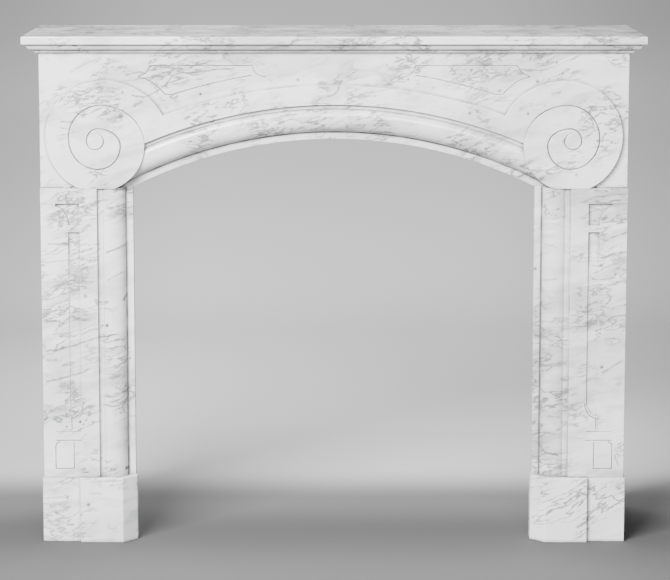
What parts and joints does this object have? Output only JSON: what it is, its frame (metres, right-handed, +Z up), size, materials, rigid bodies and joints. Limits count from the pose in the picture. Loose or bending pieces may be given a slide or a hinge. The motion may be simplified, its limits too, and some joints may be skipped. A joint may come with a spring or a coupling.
{
  "type": "fireplace mantel",
  "caption": "White veined marble fireplace mantel with a moulded shelf, a segmental arched frieze with spiral volutes, roll-moulded jambs and chamfered plinths.",
  "frame": {"origin": "on the floor under the middle of the shelf, halfway between the shelf's front edge and the wall", "axes": "+X along the shelf to the viewer's right, +Y into the wall, +Z up; the carved front faces -Y"},
  "size_m": [1.28, 0.34, 1.067],
  "materials": {
    "white_marble": "softly polished white marble with cloudy grey patches and fine grey veins"
  },
  "bodies": {
    "root": {"shelf": "white_marble", "lintel": "white_marble", "jamb_left": "white_marble", "jamb_right": "white_marble", "plinth_left": "white_marble", "plinth_right": "white_marble", "return_left": "white_marble", "return_right": "white_marble", "plinth_return_left": "white_marble", "plinth_return_right": "white_marble"}
  },
  "joints": []
}
